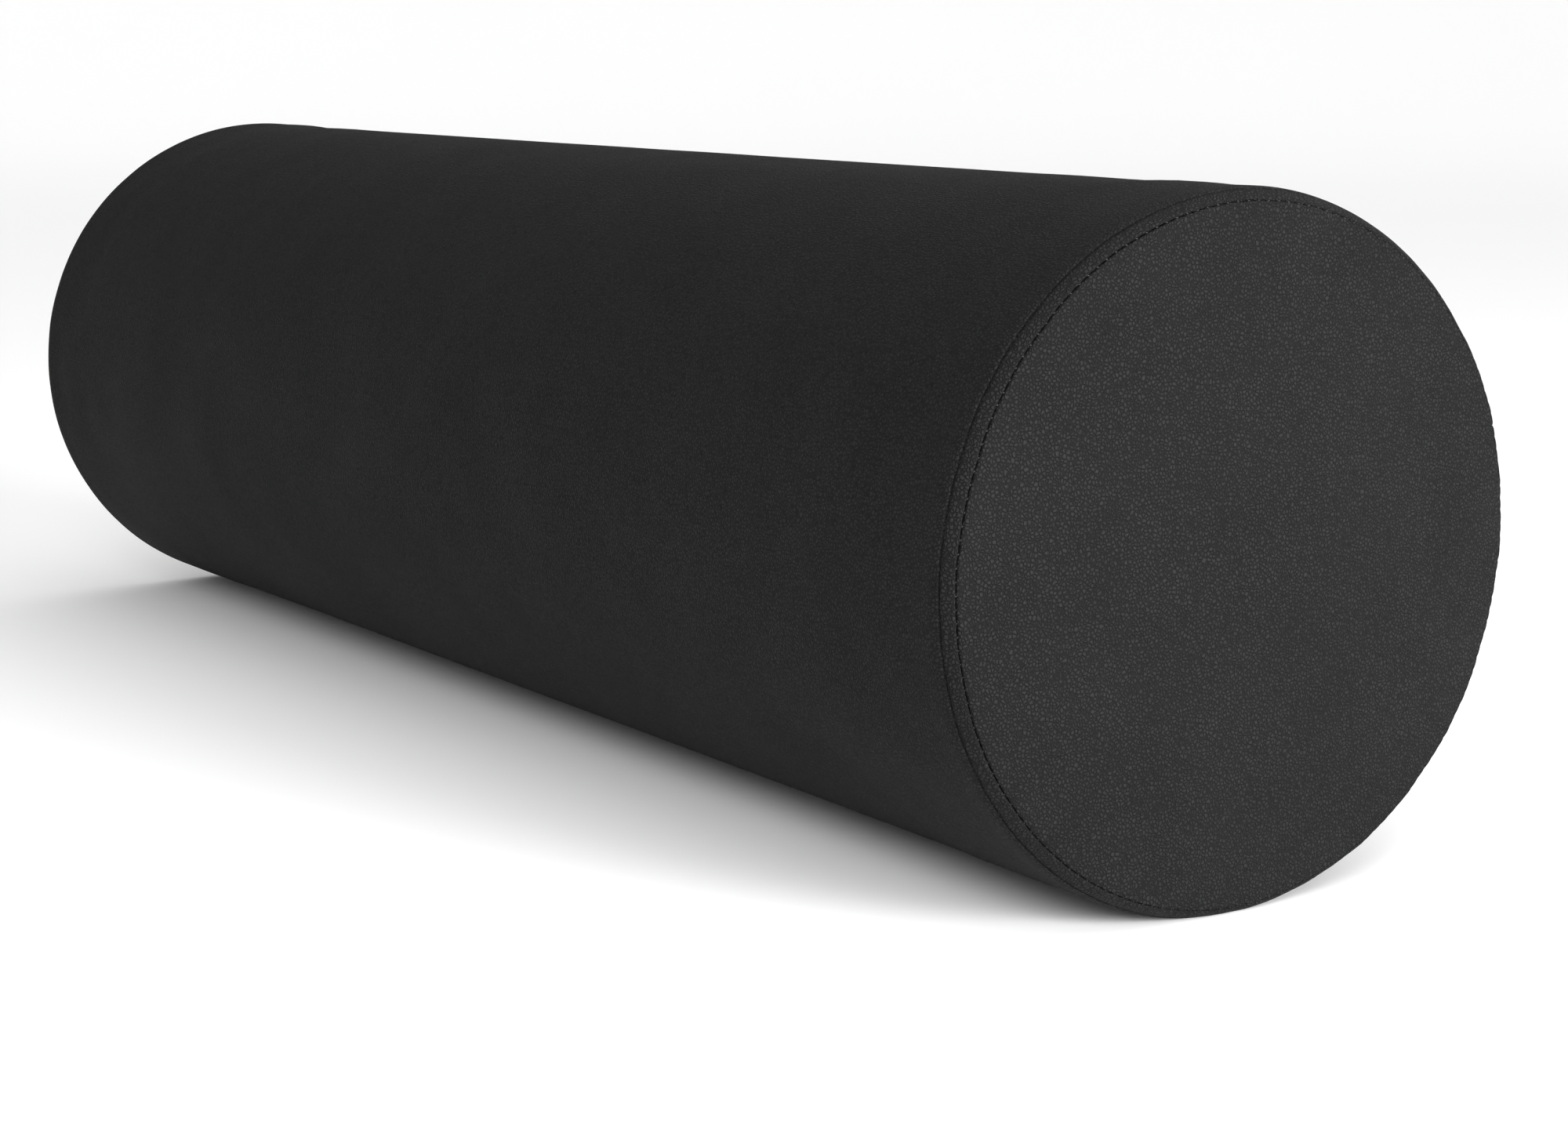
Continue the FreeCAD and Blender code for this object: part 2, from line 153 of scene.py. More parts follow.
def joined_rows(rows, closed):
    """Faces between rows of vertex numbers whose counts differ by a whole factor."""
    faces = []
    for low, high in zip(rows, rows[1:]):
        flip = len(low) > len(high)
        few, many = (high, low) if flip else (low, high)
        spans_few = len(few) if closed else len(few) - 1
        spans_many = len(many) if closed else len(many) - 1
        step = spans_many // spans_few
        for i in range(spans_few):
            a, b = few[i], few[(i + 1) % len(few)]
            run = [many[(i * step + k) % len(many)] for k in range(step + 1)]
            if step == 1:
                loops = [[a, b, run[1], run[0]]]
            else:
                middle = step // 2
                loops = [[a, run[k + 1], run[k]] for k in range(middle)]
                loops += [[a, b, run[middle]]]
                loops += [[b, run[k + 1], run[k]] for k in range(middle, step)]
            faces += [loop[::-1] if flip else loop for loop in loops]
    return faces


def tubes(paths, radius, sides, closed=False, up=None):
    """Round threads or wires along paths of points. Returns their points and faces."""
    points, faces = [], []
    for path in paths:
        path = np.asarray(path, float)
        ahead = np.roll(path, -1, 0) - np.roll(path, 1, 0)
        if not closed:
            ahead[0], ahead[-1] = path[1] - path[0], path[-1] - path[-2]
        ahead /= np.linalg.norm(ahead, axis=1)[:, None]
        lift = np.broadcast_to(ZIP_OUT if up is None else up, path.shape)
        side = np.cross(ahead, lift)
        weak = np.linalg.norm(side, axis=1) < 0.2
        side[weak] = np.cross(ahead[weak], ZIP_UP)
        side /= np.linalg.norm(side, axis=1)[:, None]
        lift = np.cross(side, ahead)
        r = radius if np.ndim(radius) else np.full(len(path), radius)
        turn = np.arange(sides) * 2 * np.pi / sides
        ring = side[:, None] * np.cos(turn)[:, None] + lift[:, None] * np.sin(turn)[:, None]
        start = len(points)
        points += list((path[:, None] + ring * r[:, None, None]).reshape(-1, 3))
        count = len(path)
        for i in range(count if closed else count - 1):
            for k in range(sides):
                a, b = start + i * sides + k, start + i * sides + (k + 1) % sides
                c, d = start + (i + 1) % count * sides + k, start + (i + 1) % count * sides + (k + 1) % sides
                faces.append([a, c, d, b])
        if not closed:
            faces.append([start + k for k in range(sides)])
            faces.append([start + (count - 1) * sides + k for k in range(sides)][::-1])
    return points, faces


# ---- Materials ----

def new_material(name, base, roughness, shine=0.5):
    """A Principled material, and its place in the object's own coordinates."""
    material = bpy.data.materials.new(name)
    material.use_nodes = True
    nodes, links = material.node_tree.nodes, material.node_tree.links
    shader = nodes["Principled BSDF"]
    shader.inputs["Base Color"].default_value = (*base, 1)
    shader.inputs["Roughness"].default_value = roughness
    shader.inputs["Specular IOR Level"].default_value = shine
    place = nodes.new("ShaderNodeTexCoord").outputs["Object"]
    return material, nodes, links, shader, place


def noise_node(nodes, links, place, scale, detail=2.0, rough=0.5):
    """Smooth noise between 0 and 1."""
    node = nodes.new("ShaderNodeTexNoise")
    node.inputs["Scale"].default_value = scale
    node.inputs["Detail"].default_value = detail
    node.inputs["Roughness"].default_value = rough
    links.new(place, node.inputs["Vector"])
    return node.outputs["Fac"]


def ranged(nodes, links, value, low, high, to_low, to_high):
    """Maps a value from one range to another."""
    node = nodes.new("ShaderNodeMapRange")
    for socket, number in zip(("From Min", "From Max", "To Min", "To Max"), (low, high, to_low, to_high)):
        node.inputs[socket].default_value = number
    links.new(value, node.inputs["Value"])
    return node.outputs["Result"]


def combine(nodes, links, kind, a, b):
    """A sum, product or the like of two values or numbers."""
    node = nodes.new("ShaderNodeMath")
    node.operation = kind
    for socket, value in zip(node.inputs, (a, b)):
        if isinstance(value, (int, float)):
            socket.default_value = value
        else:
            links.new(value, socket)
    return node.outputs[0]


def colour_between(nodes, links, value, low, high):
    """Mixes two colours by a value."""
    node = nodes.new("ShaderNodeMix")
    node.data_type = "RGBA"
    node.inputs["A"].default_value = (*low, 1)
    node.inputs["B"].default_value = (*high, 1)
    links.new(value, node.inputs["Factor"])
    return node.outputs["Result"]


def bumped(nodes, links, shader, height, distance, strength=1.0):
    """Gives a shader relief from a height."""
    bump = nodes.new("ShaderNodeBump")
    bump.inputs["Distance"].default_value = distance
    bump.inputs["Strength"].default_value = strength
    links.new(height, bump.inputs["Height"])
    links.new(bump.outputs["Normal"], shader.inputs["Normal"])


def leather_material():
    """Pebble-grained polyurethane: rounded cells about a millimetre across between soft creases."""
    material, nodes, links, shader, place = new_material("grained_leather", (0.004, 0.004, 0.0042), 0.7, 0.15)
    drift = nodes.new("ShaderNodeTexNoise")
    drift.inputs["Scale"].default_value = 260.0
    drift.inputs["Detail"].default_value = 2.0
    links.new(place, drift.inputs["Vector"])
    warp = nodes.new("ShaderNodeVectorMath")
    warp.operation = "MULTIPLY_ADD"
    warp.inputs[1].default_value = (0.0011,) * 3
    links.new(drift.outputs["Color"], warp.inputs[0])
    links.new(place, warp.inputs[2])
    heights = []
    for scale, high in ((930.0, 0.40), (2100.0, 0.42)):
        cells = nodes.new("ShaderNodeTexVoronoi")
        cells.feature = "DISTANCE_TO_EDGE"
        cells.inputs["Scale"].default_value = scale
        links.new(warp.outputs[0], cells.inputs["Vector"])
        domed = ranged(nodes, links, cells.outputs["Distance"], 0.0, high, 0, 1)
        domed.node.interpolation_type = "SMOOTHERSTEP"
        heights.append(combine(nodes, links, "POWER", domed, 0.6))
    grain = combine(nodes, links, "ADD", heights[0], combine(nodes, links, "MULTIPLY", heights[1], 0.22))
    soft = noise_node(nodes, links, place, 95.0, 3.0, 0.55)
    height = combine(nodes, links, "ADD", grain, combine(nodes, links, "MULTIPLY", soft, 0.8))
    bumped(nodes, links, shader, height, 0.00030, 1.0)
    # The base colour follows the grain's relief: darker in the creases and lighter on the cell tops, painted shade and
    # painted highlight for that relief, on a tone that varies at random in patches.
    patches = ranged(nodes, links, noise_node(nodes, links, place, 38.0, 3.0), 0.3, 0.7, 0.75, 1.15)
    links.new(colour_between(nodes, links, combine(nodes, links, "MULTIPLY", grain, patches),
                             (0.0015, 0.0015, 0.0016), (0.0105, 0.0105, 0.0108)), shader.inputs["Base Color"])
    rough = combine(nodes, links, "ADD", ranged(nodes, links, grain, 0, 1.2, 0.86, 0.70),
                    ranged(nodes, links, noise_node(nodes, links, place, 22.0), 0.3, 0.7, -0.03, 0.03))
    links.new(rough, shader.inputs["Roughness"])
    return material


def thread_material():
    """Twisted, bonded polyester."""
    material, nodes, links, shader, place = new_material("bonded_thread", (0.014, 0.014, 0.015), 0.5)
    twist = nodes.new("ShaderNodeTexWave")
    twist.bands_direction = "DIAGONAL"
    twist.inputs["Scale"].default_value = 700.0
    twist.inputs["Distortion"].default_value = 1.0
    links.new(place, twist.inputs["Vector"])
    bumped(nodes, links, shader, twist.outputs["Fac"], 0.00004, 0.7)
    links.new(colour_between(nodes, links, twist.outputs["Fac"], (0.008, 0.008, 0.009), (0.026, 0.026, 0.028)),
              shader.inputs["Base Color"])
    return material


def tape_material():
    """Herringbone-woven polyester tape."""
    material, nodes, links, shader, place = new_material("woven_tape", (0.010, 0.010, 0.011), 0.8)
    waves = []
    for turn in (0.9, -0.9):
        aim = nodes.new("ShaderNodeMapping")
        aim.inputs["Rotation"].default_value = (-ZIP_ANGLE, turn, 0.0)
        links.new(place, aim.inputs["Vector"])
        wave = nodes.new("ShaderNodeTexWave")
        wave.bands_direction = "X"
        wave.inputs["Scale"].default_value = 520.0
        wave.inputs["Distortion"].default_value = 0.4
        links.new(aim.outputs[0], wave.inputs["Vector"])
        waves.append(wave.outputs["Fac"])
    weave = combine(nodes, links, "MAXIMUM", waves[0], waves[1])
    bumped(nodes, links, shader, weave, 0.00012, 0.8)
    links.new(colour_between(nodes, links, weave, (0.004, 0.004, 0.005), (0.020, 0.020, 0.022)),
              shader.inputs["Base Color"])
    return material


def nylon_material():
    """Dyed nylon monofilament, a little glossy."""
    material, nodes, links, shader, place = new_material("nylon_coil", (0.012, 0.012, 0.013), 0.34)
    fuzz = noise_node(nodes, links, place, 900.0, 2.0)
    links.new(ranged(nodes, links, fuzz, 0.3, 0.7, 0.27, 0.42), shader.inputs["Roughness"])
    links.new(colour_between(nodes, links, fuzz, (0.009, 0.009, 0.010), (0.018, 0.018, 0.020)),
              shader.inputs["Base Color"])
    bumped(nodes, links, shader, fuzz, 0.00002, 0.5)
    return material


def enamel_material():
    """Black baked enamel over a die casting, with its slightly pebbled skin and rubbed spots."""
    material, nodes, links, shader, place = new_material("zip_enamel", (0.014, 0.014, 0.015), 0.36)
    skin = noise_node(nodes, links, place, 1500.0, 3.0, 0.6)
    worn = noise_node(nodes, links, place, 330.0, 4.0, 0.6)
    bumped(nodes, links, shader, skin, 0.00003, 0.6)
    links.new(ranged(nodes, links, worn, 0.35, 0.7, 0.42, 0.26), shader.inputs["Roughness"])
    links.new(colour_between(nodes, links, ranged(nodes, links, worn, 0.60, 0.78, 0, 1), (0.012, 0.012, 0.013),
                             (0.060, 0.058, 0.056)), shader.inputs["Base Color"])
    return material


def stop_material():
    """Dark-coated wire, crimped, with bright metal where the coating has cracked."""
    material, nodes, links, shader, place = new_material("stop_metal", (0.05, 0.05, 0.052), 0.4)
    worn = noise_node(nodes, links, place, 900.0, 4.0, 0.65)
    shader.inputs["Metallic"].default_value = 0.9
    links.new(colour_between(nodes, links, ranged(nodes, links, worn, 0.5, 0.72, 0, 1), (0.035, 0.035, 0.038),
                             (0.30, 0.30, 0.31)), shader.inputs["Base Color"])
    bumped(nodes, links, shader, worn, 0.00003, 0.6)
    return material


def foam_material():
    """Open-cell foam."""
    material, nodes, links, shader, place = new_material("open_cell_foam", (0.72, 0.66, 0.50), 0.95)
    cells = nodes.new("ShaderNodeTexVoronoi")
    cells.inputs["Scale"].default_value = 900.0
    links.new(place, cells.inputs["Vector"])
    bumped(nodes, links, shader, cells.outputs["Distance"], 0.0004, 0.9)
    links.new(colour_between(nodes, links, cells.outputs["Distance"], (0.45, 0.40, 0.28), (0.80, 0.74, 0.58)),
              shader.inputs["Base Color"])
    return material


def liner_material():
    """Point-bonded non-woven cloth."""
    material, nodes, links, shader, place = new_material("nonwoven_liner", (0.03, 0.03, 0.03), 0.9)
    bonds = nodes.new("ShaderNodeTexVoronoi")
    bonds.inputs["Scale"].default_value = 420.0
    bonds.inputs["Randomness"].default_value = 0.15
    links.new(place, bonds.inputs["Vector"])
    fibres = noise_node(nodes, links, place, 1600.0, 4.0, 0.7)
    height = combine(nodes, links, "ADD", bonds.outputs["Distance"], combine(nodes, links, "MULTIPLY", fibres, 0.4))
    bumped(nodes, links, shader, height, 0.00015, 0.8)
    links.new(colour_between(nodes, links, height, (0.015, 0.015, 0.016), (0.06, 0.06, 0.062)),
              shader.inputs["Base Color"])
    return material


# ---- How the cover swells between its seams, from a cloth simulation ----

SIM_ROUND, SIM_ALONG, SIM_RINGS = 96, 98, 14      # columns, spans along the tube, and rings of each end
SIM_FRAMES = 20


def simulated_swell():
    """Blows up a coarse cover that is a little too large for its pinned seams, and returns how far its tube moved
    out, by row and column, and how far its two ends moved, by ring and column."""
    xs = np.linspace(-SEAM_X, SEAM_X, SIM_ALONG + 1)
    angles = np.arange(SIM_ROUND) * 2 * np.pi / SIM_ROUND
    radius = RADIUS - (RADIUS - SEAM_R) * smoothstep(SHOULDER_X - 4, SEAM_X, np.abs(xs))
    tube = in_space(xs[:, None], radius[:, None], angles[None])
    ring_r = SEAM_R * (1 - np.arange(1, SIM_RINGS) / SIM_RINGS)
    blocks = [tube.reshape(-1, 3)]
    for side in (1, -1):
        x = side * (HALF_LENGTH - CROWN_RADIUS + np.sqrt(CROWN_RADIUS ** 2 - ring_r ** 2))
        blocks.append(in_space(x[:, None], ring_r[:, None], angles[None]).reshape(-1, 3))
        blocks.append(in_space(side * HALF_LENGTH, 0.0, 0.0).reshape(1, 3))
    base = np.concatenate(blocks)
    rest = on_floor(base.copy(), 0.0, 0.01)
    first = (SIM_ALONG + 1) * SIM_ROUND
    rows = [[i * SIM_ROUND + k for k in range(SIM_ROUND)] for i in range(SIM_ALONG + 1)]
    faces = joined_rows(rows, True)
    block = (SIM_RINGS - 1) * SIM_ROUND + 1
    for end, edge in enumerate((rows[-1], rows[0])):
        start = first + end * block
        rings = [[start + i * SIM_ROUND + k for k in range(SIM_ROUND)] for i in range(SIM_RINGS - 1)]
        made = joined_rows([edge] + rings, True)
        tip = start + block - 1
        made += [[rings[-1][k], rings[-1][(k + 1) % SIM_ROUND], tip] for k in range(SIM_ROUND)]
        faces += made if end == 0 else [f[::-1] for f in made]
    mesh = bpy.data.meshes.new("swelling")
    mesh.from_pydata([tuple(p) for p in rest * MM], [], faces)
    cloth_piece = bpy.data.objects.new("swelling", mesh)
    bpy.context.scene.collection.objects.link(cloth_piece)
    pins = cloth_piece.vertex_groups.new(name="pins")
    by_zip = np.minimum(angles, 2 * np.pi - angles) * RADIUS < 15.0
    held = set(rows[0]) | set(rows[-1])
    held |= {row[k] for row in rows for k in range(SIM_ROUND) if by_zip[k]}
    held |= {int(i) for i in np.nonzero(rest[:, 2] < 0.6)[0]}
    pins.add(sorted(held), 1.0, "REPLACE")
    cloth = cloth_piece.modifiers.new("Cloth", "CLOTH")
    settings = cloth.settings
    settings.vertex_group_mass = "pins"
    settings.use_pressure = True
    settings.uniform_pressure_force = 4.0
    settings.shrink_min = -0.012
    settings.tension_stiffness = 40.0
    settings.compression_stiffness = 40.0
    settings.shear_stiffness = 20.0
    settings.bending_stiffness = 1.0
    settings.quality = 8
    settings.effector_weights.gravity = 0.0
    settings.mass = 0.3
    cloth.point_cache.frame_start, cloth.point_cache.frame_end = 1, SIM_FRAMES
    for number in range(1, SIM_FRAMES + 1):
        bpy.context.scene.frame_set(number)
    after = cloth_piece.evaluated_get(bpy.context.evaluated_depsgraph_get()).to_mesh()
    moved = np.empty(len(rest) * 3)
    after.vertices.foreach_get("co", moved)
    moved = moved.reshape(-1, 3) / MM
    bpy.data.objects.remove(cloth_piece)
    bpy.data.meshes.remove(mesh)
    bpy.context.scene.frame_set(1)
    out = moved - rest
    a = ZIP_ANGLE + angles
    outward = np.stack([np.zeros_like(a), np.cos(a), np.sin(a)], -1)
    tube_out = (out[:first].reshape(SIM_ALONG + 1, SIM_ROUND, 3) * outward[None]).sum(-1)
    ends = []
    for end, side in enumerate((1, -1)):
        start = first + end * block
        rings = side * out[start:start + block - 1, 0].reshape(SIM_RINGS - 1, SIM_ROUND)
        middle = np.full((1, SIM_ROUND), side * out[start + block - 1, 0])
        ends.append(np.concatenate([np.zeros((1, SIM_ROUND)), rings, middle]))
    return tube_out, ends


def spline_sample(grid, row, column):
    """Smooth reading of a grid, which is periodic in its columns, at fractional rows and columns."""
    def weights(f):
        return [(1 - f) ** 3 / 6, (3 * f ** 3 - 6 * f ** 2 + 4) / 6,
                (-3 * f ** 3 + 3 * f ** 2 + 3 * f + 1) / 6, f ** 3 / 6]
    row, column = np.broadcast_arrays(row, column)
    r0, c0 = np.floor(row).astype(int), np.floor(column).astype(int)
    total = np.zeros(row.shape)
    for i, wr in enumerate(weights(row - r0)):
        r = np.clip(r0 + i - 1, 0, grid.shape[0] - 1)
        for k, wc in enumerate(weights(column - c0)):
            total += wr * wc * grid[r, (c0 + k - 1) % grid.shape[1]]
    return total


def ripple_grid(rows, columns, passes, seed):
    """Seeded smooth noise between about -1 and 1."""
    grid = np.random.default_rng(seed).normal(size=(rows, columns))
    for _ in range(passes):
        grid = (grid + np.roll(grid, 1, 1) + np.roll(grid, -1, 1)) / 3
        grid = (grid + np.roll(grid, 1, 0) + np.roll(grid, -1, 0)) / 3
    return grid / np.abs(grid).max()


TUBE_SWELL, END_SWELL = simulated_swell()
WAVES = ripple_grid(60, 72, 3, 5)
PUCKERS = ripple_grid(40, 150, 1, 9)
TIGHTNESS = np.random.default_rng(3).uniform(0.3, 1.2, STITCHES)


# ---- The cover ----

def seam_roll(centre, large, side, roll, gap):
    """A small circle inside a panel's arc that also touches its side of the seam. Returns its centre and the angle
    where the arc ends."""
    away = np.array([-MITRE[1], MITRE[0]]) * side
    low, high = (0.0, math.pi / 2) if side > 0 else (0.0, 0.3)
    seam = np.array([SEAM_X, SEAM_R])

    def spare(angle):
        middle = centre + (large - roll) * np.array([math.cos(angle), math.sin(angle)])
        return (middle - seam) @ away - roll - gap

    for _ in range(60):
        angle = (low + high) / 2
        if (spare(angle) > 0) == (side > 0):
            high = angle
        else:
            low = angle
    return centre + (large - roll) * np.array([math.cos(angle), math.sin(angle)]), angle


def panel_profile(centre, large, side, roll, gap, arc_angles, depths):
    """A panel's line in the XR plane from its arc, round the roll and into the seam: points, outward directions and
    how far each is from the roll's crest."""
    small, end = seam_roll(centre, large, side, roll, gap)
    points, normals, run = [], [], []
    for angle in arc_angles:
        n = np.array([math.cos(angle), math.sin(angle)])
        points.append(centre + large * n)
        normals.append(n)
        run.append(-abs(angle - end) * large)
    last = math.atan2(-MITRE[0] * side, MITRE[1] * side) if side > 0 else math.atan2(MITRE[0], -MITRE[1])
    for share in np.linspace(0, 1, 7):
        at = end + (last - end) * share
        n = np.array([math.cos(at), math.sin(at)])
        points.append(small + roll * n)
        normals.append(n)
        run.append(abs(at - end) * roll)
    for depth in depths:
        points.append(points[len(arc_angles) + 6] - MITRE * depth)
        normals.append(normals[-1])
        run.append(run[len(arc_angles) + 6] + depth)
    return np.array(points), np.array(normals), np.array(run)


ROLL, GAP = 0.7, 0.04     # radius of a panel's edge where it turns into the seam, and half the seam's gap
TUBE_CENTRE = np.array([SHOULDER_X, RADIUS - SHOULDER])
CROWN_CENTRE = np.array([HALF_LENGTH - CROWN_RADIUS, 0.0])
_, TUBE_END = seam_roll(TUBE_CENTRE, SHOULDER, 1, ROLL, GAP)
_, CROWN_END = seam_roll(CROWN_CENTRE, CROWN_RADIUS, -1, ROLL * 0.85, GAP)


def stitch_pull(angle, run, reach=1.3):
    """How far the stitches pull a seam's edge in: most at each stitch's ends, and some stitches more than others."""
    count = np.asarray(angle) * STITCHES / (2 * np.pi)
    beat = np.abs((count % 1) - 0.5) * 2
    tight = TIGHTNESS[np.floor(count + 0.5).astype(int) % STITCHES]
    return bell(run - 0.4, reach) * (0.04 + 0.24 * tight * beat ** 3)


def wander(angle, run, side):
    """How far an end seam strays to and fro along the bolster, fading out within a few millimetres of it."""
    a = np.asarray(angle) + 1.3 * side
    sway = (0.34 * np.sin(5 * a + 0.4) + 0.30 * np.sin(13 * a + 2.0) + 0.22 * np.sin(31 * a + 4.1)
            + 0.14 * np.sin(57 * a))
    return 0.42 * sway * bell(np.minimum(run, 0), 5.0)


def tube_relief(x, angle, run, side):
    """How far the tube's surface stands off its plain shape."""
    row = (x + SEAM_X) / (2 * SEAM_X) * SIM_ALONG
    column = angle / (2 * np.pi) * SIM_ROUND
    swell = spline_sample(TUBE_LOCAL, row, column)
    waves = spline_sample(WAVES, (x + SEAM_X) / 650 * 58, angle / (2 * np.pi) * 72)
    puckers = spline_sample(PUCKERS, np.abs(run) / 4 + 4 + 12 * (side > 0), angle / (2 * np.pi) * 150)
    near = np.minimum(angle, 2 * np.pi - angle) * RADIUS
    quiet = smoothstep(12, 40, near)
    edge = np.abs(run)
    plump = 0.25 + 0.75 * bell(angle - math.radians(172), 0.75)
    ridge = 0.34 * plump * smoothstep(1.0, 5.0, edge) * (1 - smoothstep(7.0, 15.0, edge))
    fringe = np.where(run > 0, 0.0, 1.0)
    relief = (0.45 * swell + 0.12 * waves * smoothstep(0, 20, edge)) * quiet
    relief = relief + fringe * (ridge + 0.12 * puckers * bell(edge - 7, 9) * quiet)
    groove = -0.28 * bell(near - 7.8, 1.0) * (np.abs(x) < OPENING / 2 + 1)
    return relief + groove


def local_part(grid, cap):
    """A simulated movement without its even swelling, capped."""
    return np.clip(grid - grid.mean(1, keepdims=True), -cap, cap)


TUBE_LOCAL = local_part(TUBE_SWELL, 0.7)
END_LOCAL = [local_part(grid, 0.6) for grid in END_SWELL]


def at_opening(x):
    """Is 1 along the zip's opening and 0 beyond its ends."""
    return 1 - smoothstep(OPENING / 2 - 1.5, OPENING / 2 + 1.5, np.abs(x))


def edge_half(x):
    """Half the gap between the long panel's two edges: open at the zip, closed by the seam beyond it."""
    return 0.12 + (OPENING_EDGE - 0.12) * at_opening(x)


def hem_roll(x):
    """How wide the fold of the hem is."""
    return 0.8 + 0.4 * at_opening(x)


def make_tube(material):
    """The long panel's face, with its hems turned under along the zip and its ends turned into the end seams."""
    arcs = np.linspace(math.pi / 2, TUBE_END, 12)[:-1]
    profile, normals, run = panel_profile(TUBE_CENTRE, SHOULDER, 1, ROLL, GAP, arcs, (0.5, 1.2, 2.0))
    factors = [2] * 6 + [5] * (len(profile) - 6)
    straight = list(np.linspace(0, OPENING / 2 - 5.5, 28)) + [OPENING / 2 + d for d in (-3, -1.5, 0, 1.5, 3, 6, 12)]
    straight += list(np.linspace(299, SHOULDER_X - 10, 3)) + [SHOULDER_X - d for d in (7.5, 5.5, 4, 2.5, 1.2)]
    half = [(np.array([x, RADIUS]), np.array([0.0, 1.0]), -(SHOULDER_X - x) + run[0], 1 if x < SHOULDER_X - 12 else 2)
            for x in straight]
    half += [(p, n, r, f) for p, n, r, f in zip(profile, normals, run, factors)]
    turned = [(TUBE_CENTRE + (SHOULDER - 2.85) * np.array([math.cos(a), math.sin(a)]),
               -np.array([math.cos(a), math.sin(a)]), 6.0, 1) for a in (0.95, 1.25, math.pi / 2)]
    half += turned
    rows_spec = [(np.array([-p[0], p[1]]), np.array([-n[0], n[1]]), r, f, -1) for p, n, r, f in half[:0:-1]]
    rows_spec += [(p, n, r, f, 1) for p, n, r, f in half]

    near = np.array([0, 0.6, 1.2, 1.8, 2.5, 3.4, 4.8, 6.8, 9.4]) / 10.8
    fixed = np.linspace(17.0 / RADIUS, 2 * math.pi - 17.0 / RADIUS, 151)
    points, rows = [], []
    for (x, r), (nx, nr), along, factor, side in rows_spec:
        turned_in = along > 5
        edge = edge_half(x) / RADIUS
        roll = hem_roll(x) / RADIUS
        start = edge + roll
        left = start + (fixed[0] - start) * near
        columns = np.concatenate([left, fixed, (2 * math.pi - left)[::-1]])
        fine = np.concatenate([np.linspace(a, b, factor, endpoint=False) for a, b in zip(columns, columns[1:])]
                              + [columns[-1:]])
        relief = 0 if turned_in else tube_relief(x, fine, along, side) - stitch_pull(fine, along)
        shift = side * wander(fine, along, side) * (not turned_in)
        body = in_space(x + nx * relief + shift, r + nr * relief, fine)
        thin = 0.35 if along > 0 else 1.0
        turn = np.linspace(math.pi, 0, 9)[:-1]
        back = np.array([HEM, HEM * 0.5]) / RADIUS + start
        t_roll = edge + roll * (1 - np.sin(turn))
        depth = np.concatenate([[2.4, 2.4], 1.2 * (1 - np.cos(turn))]) * thin
        lead = np.concatenate([back, t_roll])
        lift = tube_relief(x, np.full(1, start), along, side)[0] if not turned_in else 0
        fold_left = in_space(x + nx * (lift - depth), r + nr * (lift - depth), lead)
        fold_right = in_space(x + nx * (lift - depth[::-1]), r + nr * (lift - depth[::-1]), 2 * math.pi - lead[::-1])
        body = on_floor(np.concatenate([fold_left, body, fold_right]))
        rows.append((len(points), len(lead), factor, len(columns)))
        points += list(body)
    faces = []
    for (a0, lead, fa, count), (b0, _, fb, _) in zip(rows, rows[1:]):
        a_left, b_left = [a0 + k for k in range(lead + 1)], [b0 + k for k in range(lead + 1)]
        faces += joined_rows([a_left, b_left], False)
        a_mid = [a0 + lead + k for k in range((count - 1) * fa + 1)]
        b_mid = [b0 + lead + k for k in range((count - 1) * fb + 1)]
        faces += joined_rows([a_mid, b_mid], False)
        a_right = [a_mid[-1] + k for k in range(lead + 1)]
        b_right = [b_mid[-1] + k for k in range(lead + 1)]
        faces += joined_rows([a_right, b_right], False)
    return make_piece("cover_tube", points, faces, "bolster", "cover_leather", material, "cover_tube_panel")


def end_waves(r, angle):
    """The slight waves of an end panel's face."""
    return spline_sample(WAVES, 8 + 12 * r / 97 * np.cos(angle) + 30, 20 + 12 * r / 97 * np.sin(angle))


